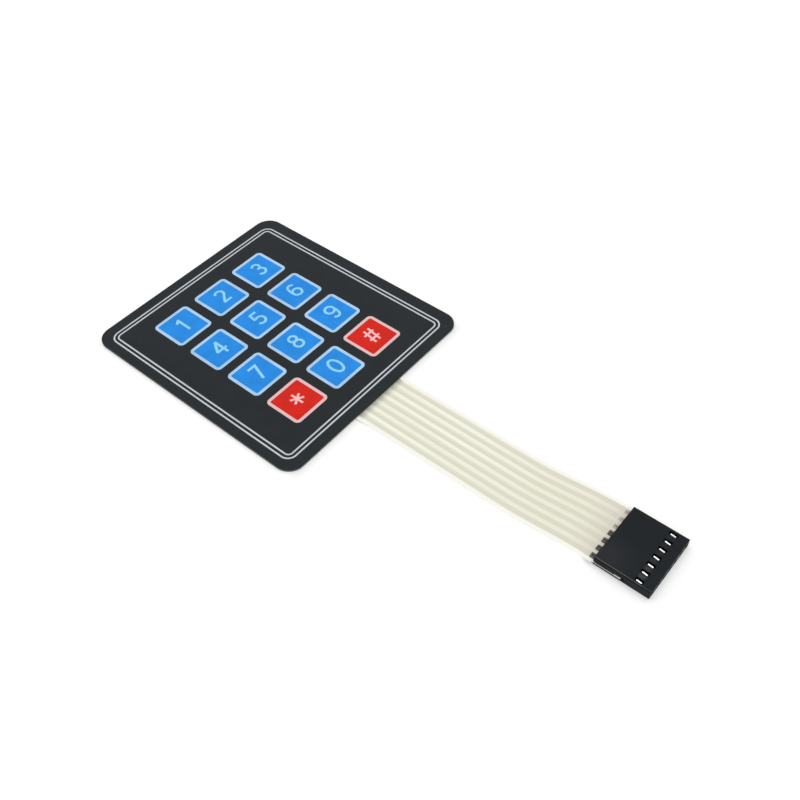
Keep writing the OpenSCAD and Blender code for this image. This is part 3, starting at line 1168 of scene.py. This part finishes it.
@dataclass(frozen=True)
class LegendDrawing:
    """How each key's legend is drawn, on one height and one stroke."""

    half_height: float = 2.5
    half_width: float = 1.42
    bowl: float = 1.42

    def strokes(self, sign: str) -> tuple[Stroke, ...]:
        """Give a legend's strokes.

        Args:
            sign: the digit, star or hash.

        Returns:
            Its strokes, in millimetres about the key's middle.
        """
        top, wide = self.half_height, self.half_width
        six = (
            ring(self.bowl - top, self.bowl),
            Stroke(-wide, self.bowl - top, 90.0, (Line(1.08), Arc(4.66, -22.6), Arc(1.15, -134.0))),
        )
        small, large = 1.155, 1.345
        drawn = {
            "0": (oval(1.52, top + 0.1, 1.1),),
            "1": (
                Stroke(0.0, top + 0.26, -90.0, (Line(2 * top + 0.54),)),
                Stroke(-1.2, 1.45, 38.0, (Line(1.4),)),
            ),
            "2": (
                Stroke(-1.22, 1.64, 70.0, (Arc(1.3, -198.5), Line(3.52))),
                Stroke(-1.45, -top, 0.0, (Line(2.9),)),
            ),
            "3": (
                Stroke(-1.05, top - small + 0.48, 65.0, (Arc(small, -245.0), Line(0.35))),
                Stroke(-0.35, top - 2 * small, 0.0, (Line(0.35), Arc(large, -245.0))),
            ),
            "4": (
                Stroke(0.65, top + 0.28, -90.0, (Line(2 * top + 0.56),)),
                Stroke(0.55, top + 0.1, -121.2, (Line(4.15),)),
                Stroke(-1.75, -0.95, 0.0, (Line(3.5),)),
            ),
            "5": (
                Stroke(1.2, top, 180.0, (Line(2.15), Corner(84.0), Line(2.6))),
                Stroke(-1.045, -0.025, 45.0, (Arc(1.45, -285.0),)),
            ),
            "6": six,
            "7": (Stroke(-1.3, top, 0.0, (Line(2.6), Corner(-107.8), Line(5.5))),),
            "8": (ring(top - 1.17, 1.17), ring(1.36 - top, 1.36)),
            "9": tuple(stroke.turned() for stroke in six),
            "*": (
                Stroke(-0.16, 2.1, -90.0, (Line(4.25),)),
                Stroke(-1.82, 1.02, -31.0, (Line(3.9),)),
                Stroke(-1.82, -1.02, 31.0, (Line(3.9),)),
            ),
            "#": (
                Stroke(-0.54, 2.6, -98.0, (Line(5.45),)),
                Stroke(1.12, 2.6, -98.0, (Line(5.45),)),
                Stroke(-1.9, 1.02, 0.0, (Line(3.6),)),
                Stroke(-2.0, -1.22, 0.0, (Line(3.6),)),
            ),
        }
        return drawn[sign]


@dataclass
class KeyLegends:
    """The twelve legends, printed on the key fields."""

    pitch: float = 15.0
    stroke: float = 0.76
    sign_stroke: float = 0.65
    height: float = 0.012
    reach: float = 0.002
    shift: Range = (0.36, 0.27)
    rows: tuple[str, ...] = ("123", "456", "789", "*0#")
    names: dict[str, str] = field(default_factory=lambda: {"*": "star", "#": "hash"})
    drawing: LegendDrawing = field(default_factory=LegendDrawing)
    on_blue: Finish = ScreenInk("legend ink over blue", (144, 213, 255), 0.45, 0.35)
    on_red: Finish = ScreenInk("legend ink over red", (255, 191, 191), 0.45, 0.35)

    def _joined(self, sign: str) -> bmesh.types.BMesh:
        """Draw a legend and join its strokes into one solid.

        Args:
            sign: the digit, star or hash.

        Returns:
            The solid in millimetres about the key's middle, 1 mm high.
        """
        wide = self.stroke if sign.isdigit() else self.sign_stroke
        bodies = [linked(stroke.solid(wide), "stroke") for stroke in self.drawing.strokes(sign)]
        first = bodies[0]
        for other in bodies[1:]:
            union = first.modifiers.new("join", "BOOLEAN")
            union.operation = "UNION"
            union.solver = "EXACT"
            union.object = other
        bpy.context.view_layer.update()
        bm = bmesh.new()
        bm.from_object(first, bpy.context.evaluated_depsgraph_get())
        for body in bodies:
            mesh = body.data
            bpy.data.objects.remove(body)
            bpy.data.meshes.remove(mesh)
        merge(bm, self.reach)
        bmesh.ops.triangulate(bm, faces=bm.faces[:])
        return bm

    def build(self, box: Paintbox) -> None:
        """Build and dress all the legends.

        Args:
            box: the finishes.
        """
        low, high = (Vector(corner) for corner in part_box("key_frame_print"))
        middle = (low + high) / 2
        for row, signs in enumerate(self.rows):
            for column, sign in enumerate(signs):
                x = (column - (len(signs) - 1) / 2) * self.pitch + self.shift[0]
                y = ((len(self.rows) - 1) / 2 - row) * self.pitch + self.shift[1]
                bm = self._joined(sign)
                there = Matrix.Translation((middle.x + x * MM, middle.y + y * MM, high.z))
                small = Matrix.Diagonal((MM, MM, self.height * MM, 1.0))
                bmesh.ops.transform(bm, matrix=there @ small, verts=bm.verts[:])
                name = f"legend_{self.names.get(sign, sign)}"
                piece = piece_from(bm, name)
                box.coat(piece, self.on_red if sign in self.names else self.on_blue)


@dataclass
class Laminate:
    """The stacked sheets of the panel, with their print."""

    overlay: Finish = OverlayFilm("matt black overlay", (35, 40, 43), 0.5, 0.1)
    blue: Finish = ScreenInk("blue key ink", (38, 142, 231), 0.48, 0.1)
    red: Finish = ScreenInk("red key ink", (216, 36, 23), 0.48, 0.1)
    frame: Finish = FrameInk("white frame ink", (176, 209, 239), 0.48, 0.2)
    border: Finish = ScreenInk("white border ink", (203, 208, 214), 0.48, 0.2)
    # These sheets show only on the panel's cut sides, and are given the dark grey that those sides
    # show.
    dark_tack: Finish = SheetLayer("dark grey adhesive", (64, 65, 64), 0.4, 0.4)
    dark_film: Finish = SheetLayer("dark grey polyester", (58, 60, 61), 0.35, 0.4)
    spacer: Finish = SheetLayer("dark spacer sheet", (46, 47, 48), 0.5, 0.3)
    liner: Finish = SheetLayer(
        "release paper", (226, 224, 217), 0.55, 0.3, tooth=14000.0, spread=0.018, relief=0.35
    )

    def dress(self, box: Paintbox) -> None:
        """Put the finishes on the panel's sheets and print.

        Args:
            box: the finishes.
        """
        box.coat_nodes(
            {
                "graphic_overlay": self.overlay,
                "blue_key_print": self.blue,
                "red_key_print": self.red,
                "key_frame_print": self.frame,
                "border_print": self.border,
                "overlay_adhesive": self.dark_tack,
                "upper_circuit_film": self.dark_film,
                "circuit_spacer": self.spacer,
                "rear_adhesive": self.dark_tack,
                "release_liner": self.liner,
            }
        )


@dataclass
class TailCircuit:
    """The film with the tail, and the silver conductors."""

    film: Finish = CircuitFilm("milky circuit film", (246, 245, 227), 0.34, 0.4)
    silver: Finish = SilverInk("silver conductor", (225, 224, 205), 0.42, 0.4)

    def dress(self, box: Paintbox) -> None:
        """Put the finishes on the film and its conductors.

        Args:
            box: the finishes.
        """
        box.coat_nodes(
            {
                "lower_circuit_film": self.film,
                "row_traces": self.silver,
                "column_traces": self.silver,
                "layer_bridges": self.silver,
            }
        )


@dataclass
class SocketConnector:
    """The black socket with its crimped terminals, their edges softened."""

    ways: int = 7
    housing_edge: float = 0.05
    terminal_edge: float = 0.02
    sharp_angle: float = 25.0
    reach: float = 0.0005
    plastic: Finish = MouldedBlack("black moulded plastic", (21, 26, 30), 0.42, 0.1)
    plate: Finish = TinPlate("tin-plated strip", (238, 238, 235), 0.31, 0.5, 1.0)

    def _softened(self, node: str, name: str, edge: float) -> bpy.types.Object:
        """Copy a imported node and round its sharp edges.

        Args:
            node: the node that the copy stands for.
            name: the copy's name.
            edge: the rounding's size in millimetres.

        Returns:
            The rounded copy.
        """
        bm = bmesh.new()
        bm.from_mesh(frame["nodes"][node].data)
        merge(bm, self.reach * MM)
        limit = math.radians(self.sharp_angle)
        sharp = [e for e in bm.edges if e.is_manifold and e.calc_face_angle() > limit]
        bmesh.ops.bevel(
            bm,
            geom=sharp,
            offset=edge * MM,
            offset_type="OFFSET",
            segments=2,
            profile=0.5,
            affect="EDGES",
            clamp_overlap=True,
            material=-1,
        )
        piece = piece_from(bm, name)
        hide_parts(node)
        return piece

    def build(self, box: Paintbox) -> None:
        """Build and dress the socket and its terminals.

        Args:
            box: the finishes.
        """
        housing = self._softened(
            "connector_housing", "socket_housing", self.housing_edge
        )
        box.coat(housing, self.plastic)
        for way in range(1, self.ways + 1):
            terminal = self._softened(
                f"terminal_{way}", f"plated_terminal_{way}", self.terminal_edge
            )
            box.coat(terminal, self.plate)


@dataclass(frozen=True)
class FloorZone:
    """A stretch of the floor that is lighter or darker than the rest, in millimetres."""

    strength: float
    beside: Range
    start: Range
    stop: Range

    def lift(self, sketch: Sketch, x: Socket, y: Socket) -> Socket:
        """Give how much the zone lifts a place.

        Args:
            sketch: the floor's sketch.
            x: the place across the part.
            y: the place along it.

        Returns:
            The socket of the lift.
        """
        return sketch.product(
            sketch.span(sketch.math("ABSOLUTE", x), self.beside, (self.strength, 0.0)),
            sketch.span(y, self.start),
            sketch.span(y, self.stop, FALLING),
        )


@dataclass
class Studio:
    """White floor, soft light and the camera."""

    floor_size: float = 1.5
    floor_drop: float = 0.02
    floor_colour: Rgb = (243, 243, 243)
    floor_lift: float = 0.22
    far_lift: float = 0.4
    under_lift: float = 0.32
    far_start: float = 0.15
    far_end: float = 0.5
    through_film: FloorZone = FloorZone(0.4, (10.5, 12.5), (-108.0, -105.0), (-46.0, -39.5))
    # A painted shadow on the floor along the panel's edge above the tail.
    panel_edge_shadow: FloorZone = FloorZone(-0.1, (32.0, 37.0), (-41.6, -39.4), (-38.0, -36.0))
    sky: float = 0.77
    lamp_power: float = 0.88
    lamp_size: float = 0.6
    lamp_place: Place = (0.13, -0.03, 0.6)
    lamp_aim: Place = (0.0, -0.04, 0.0)
    eye: Place = (-117.84, -150.22, 185.39)
    azimuth: float = -48.22
    elevation: float = 49.12
    roll: float = -2.67
    lens: float = 41.89

    @staticmethod
    def _seen(sketch: Sketch) -> Socket:
        """Give 1 for rays that show the surroundings, to the eye or in gloss.

        Args:
            sketch: the floor's sketch or the sky's.

        Returns:
            The socket of 1 or 0.
        """
        path = sketch.add("ShaderNodeLightPath")
        shown = path.outputs["Is Camera Ray"]
        for label in ("Is Glossy Ray", "Is Transmission Ray"):
            shown = sketch.math("MAXIMUM", shown, path.outputs[label])
        return shown

    def _lift(self, sketch: Sketch) -> Socket:
        """Give how much the floor is lifted toward white, place by place.

        Args:
            sketch: the floor's sketch.

        Returns:
            The socket of the lift: more in the distance, painted light where light comes through
                the milky film, and less, a painted shadow, along the panel's edge above the tail.
        """
        x, y, _ = sketch.axes()
        squares = sketch.math("ADD", sketch.math("POWER", x, 2.0), sketch.math("POWER", y, 2.0))
        away = sketch.math("SQRT", squares)
        lift = sketch.band(away, self.far_start, self.far_end, self.floor_lift, self.far_lift)
        for zone in (self.through_film, self.panel_edge_shadow):
            lift = sketch.math("ADD", lift, zone.lift(sketch, x, y))
        return lift

    def floor(self) -> None:
        """Lay the white floor, which keeps the part's shadow."""
        bm = bmesh.new()
        lower = Matrix.Translation((0.0, 0.0, -self.floor_drop * MM))
        bmesh.ops.create_grid(bm, x_segments=4, y_segments=4, size=self.floor_size, matrix=lower)
        plane = linked(bm, "floor")
        made = bpy.data.materials.new("white floor")
        made.use_nodes = True
        made.node_tree.nodes.clear()
        sketch = Sketch(made.node_tree)
        matt = sketch.add("ShaderNodeBsdfDiffuse", {"Color": linear(self.floor_colour)})
        below = sketch.add("ShaderNodeNewGeometry").outputs["Backfacing"]
        lift = sketch.band(below, 0.0, 1.0, self._lift(sketch), self.under_lift)
        shown = sketch.product(self._seen(sketch), lift)
        glow = sketch.add("ShaderNodeEmission", {"Strength": shown})
        both = sketch.add("ShaderNodeAddShader", {0: matt.outputs[0], 1: glow.outputs[0]})
        sketch.add("ShaderNodeOutputMaterial", {"Surface": both.outputs[0]})
        plane.data.materials.append(made)

    def light(self) -> None:
        """Set the even sky and one large soft lamp."""
        world = bpy.data.worlds.new("white studio")
        bpy.context.scene.world = world
        world.use_nodes = True
        world.node_tree.nodes.clear()
        sketch = Sketch(world.node_tree)
        strength = sketch.band(self._seen(sketch), 0.0, 1.0, self.sky, 1.0)
        feeds = {"Color": (1.0, 1.0, 1.0, 1.0), "Strength": strength}
        sky = sketch.add("ShaderNodeBackground", feeds)
        sketch.add("ShaderNodeOutputWorld", {"Surface": sky.outputs[0]})
        lamp = bpy.data.lights.new("soft lamp", "AREA")
        lamp.shape = "DISK"
        lamp.size = self.lamp_size
        lamp.energy = self.lamp_power
        held = bpy.data.objects.new("soft lamp", lamp)
        held.location = self.lamp_place
        way = Vector(self.lamp_aim) - Vector(self.lamp_place)
        held.rotation_euler = way.to_track_quat("-Z", "Y").to_euler()
        bpy.context.scene.collection.objects.link(held)

    def camera(self) -> None:
        """Set the camera at the photograph's place, tilt and lens."""
        data = bpy.data.cameras.new("camera")
        data.sensor_width = 36.0
        data.lens = self.lens
        data.clip_start = 0.001
        eye = bpy.data.objects.new("camera", data)
        a, e = math.radians(self.azimuth), math.radians(self.elevation)
        back = Vector((math.sin(a) * math.cos(e), -math.cos(a) * math.cos(e), math.sin(e)))
        level = (-back).to_track_quat("-Z", "Y").to_matrix().to_4x4()
        tilt = Matrix.Rotation(math.radians(self.roll), 4, "Z")
        eye.matrix_world = Matrix.Translation(Vector(self.eye) * MM) @ level @ tilt
        bpy.context.scene.collection.objects.link(eye)
        bpy.context.scene.camera = eye

    def build(self) -> None:
        """Set up the floor, the light and the camera."""
        bpy.context.scene.view_settings.view_transform = "Standard"
        self.camera()
        self.floor()
        self.light()


def main() -> None:
    """Build and dress the keypad, then set up its studio."""
    logging.basicConfig(level=logging.INFO, format="%(message)s")
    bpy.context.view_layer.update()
    box = Paintbox()
    Studio().build()
    Laminate().dress(box)
    TailCircuit().dress(box)
    KeyLegends().build(box)
    SocketConnector().build(box)


if __name__ == "__main__":
    main()
